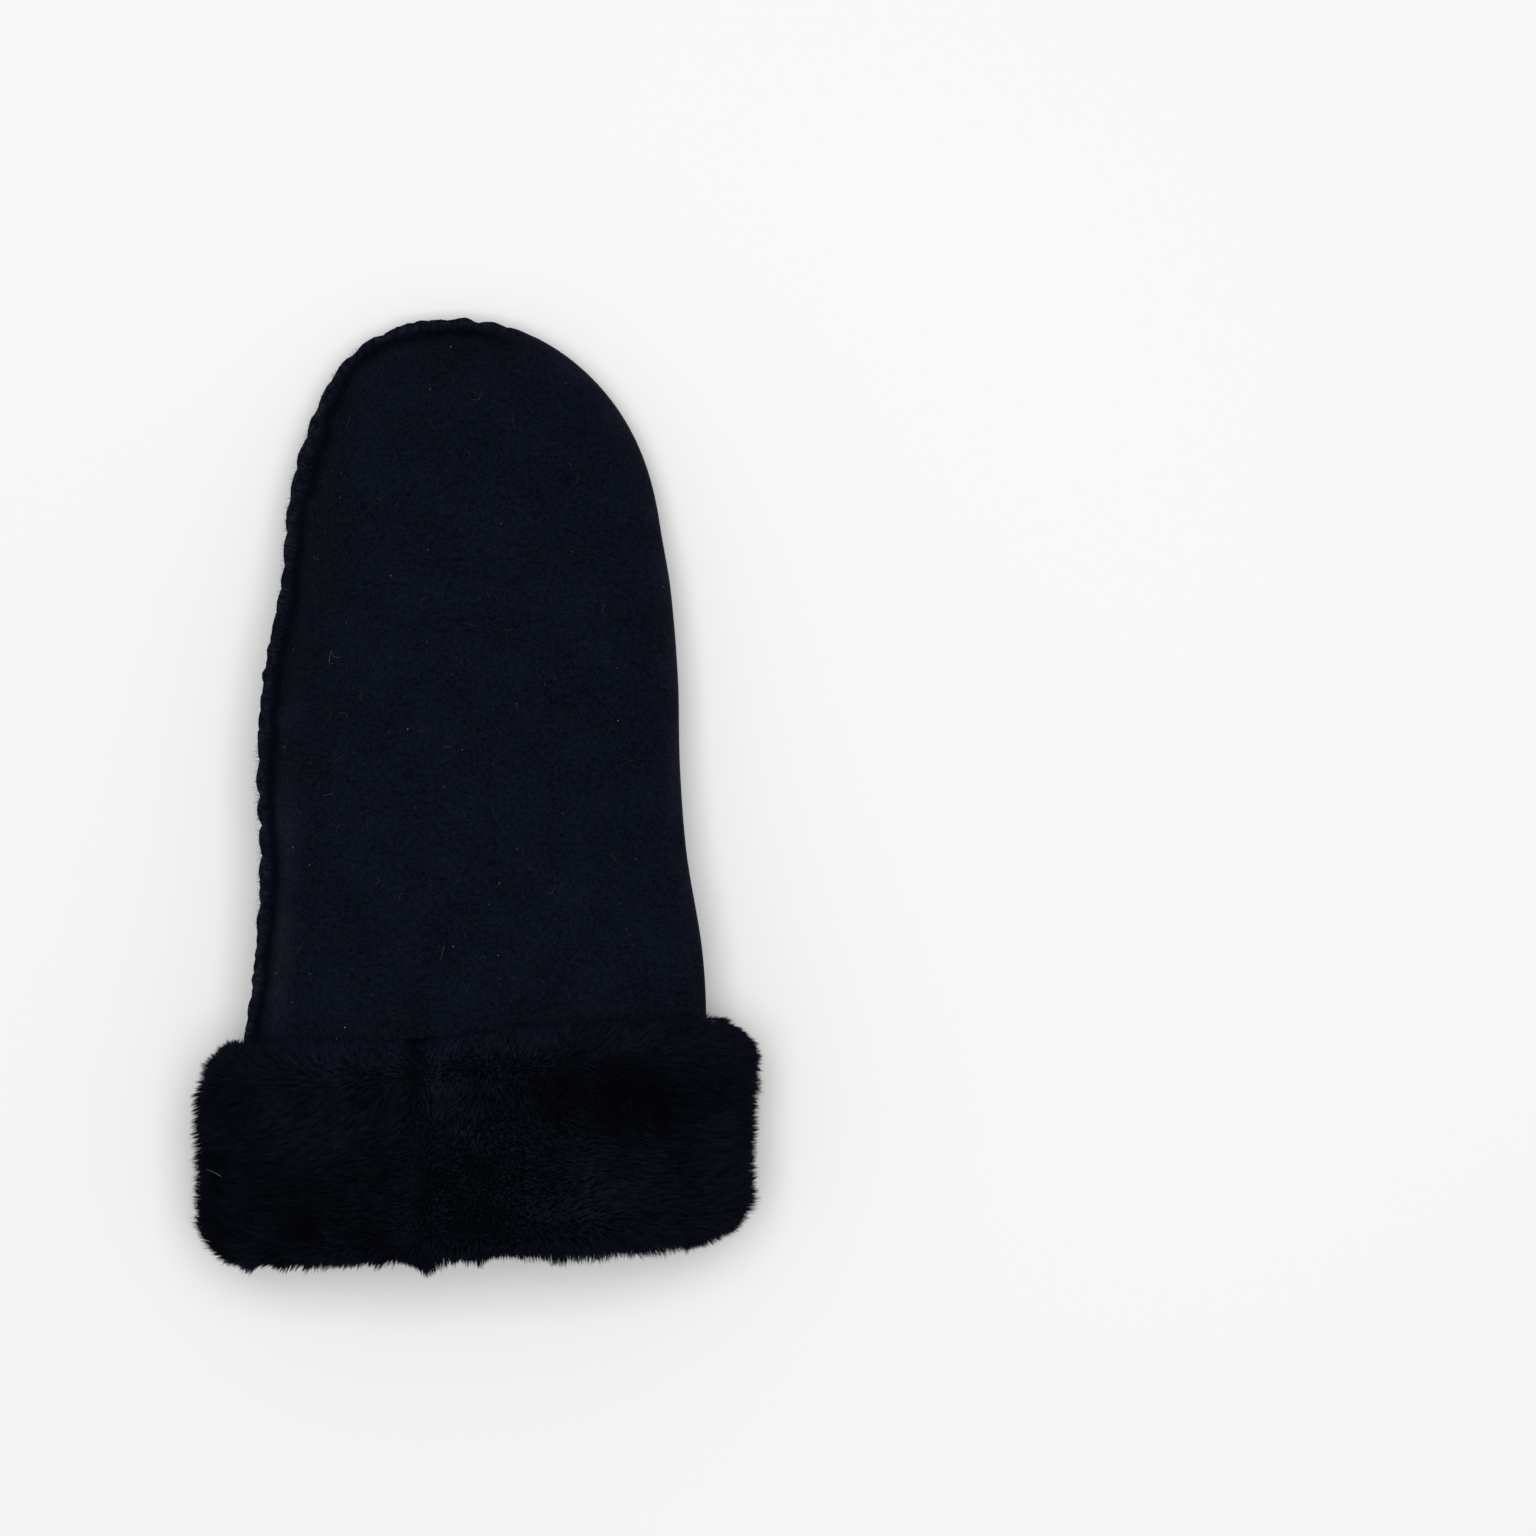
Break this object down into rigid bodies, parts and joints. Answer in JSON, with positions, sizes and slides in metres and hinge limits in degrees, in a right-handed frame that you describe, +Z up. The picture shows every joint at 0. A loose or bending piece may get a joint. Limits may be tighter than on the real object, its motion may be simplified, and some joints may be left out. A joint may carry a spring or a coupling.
{
  "type": "sheepskin mitten",
  "caption": "Right-hand suede sheepskin mitten with a deep fur turn-back cuff, an outside whip-stitched seam and a thumb set in the palm, lying flat with its back up",
  "frame": {"origin": "on the table, under the middle of the bounding box", "axes": "+X to the little-finger edge, +Y to the fingertips, +Z up from the table out of the back of the hand"},
  "size_m": [0.1572, 0.2678, 0.0501],
  "materials": {
    "suede": "dark navy napped suede",
    "fur": "deep blue-black sheepskin pile"
  },
  "bodies": {
    "root": {"hand_body": "suede", "thumb": "suede", "fur_cuff": "fur"}
  },
  "joints": []
}
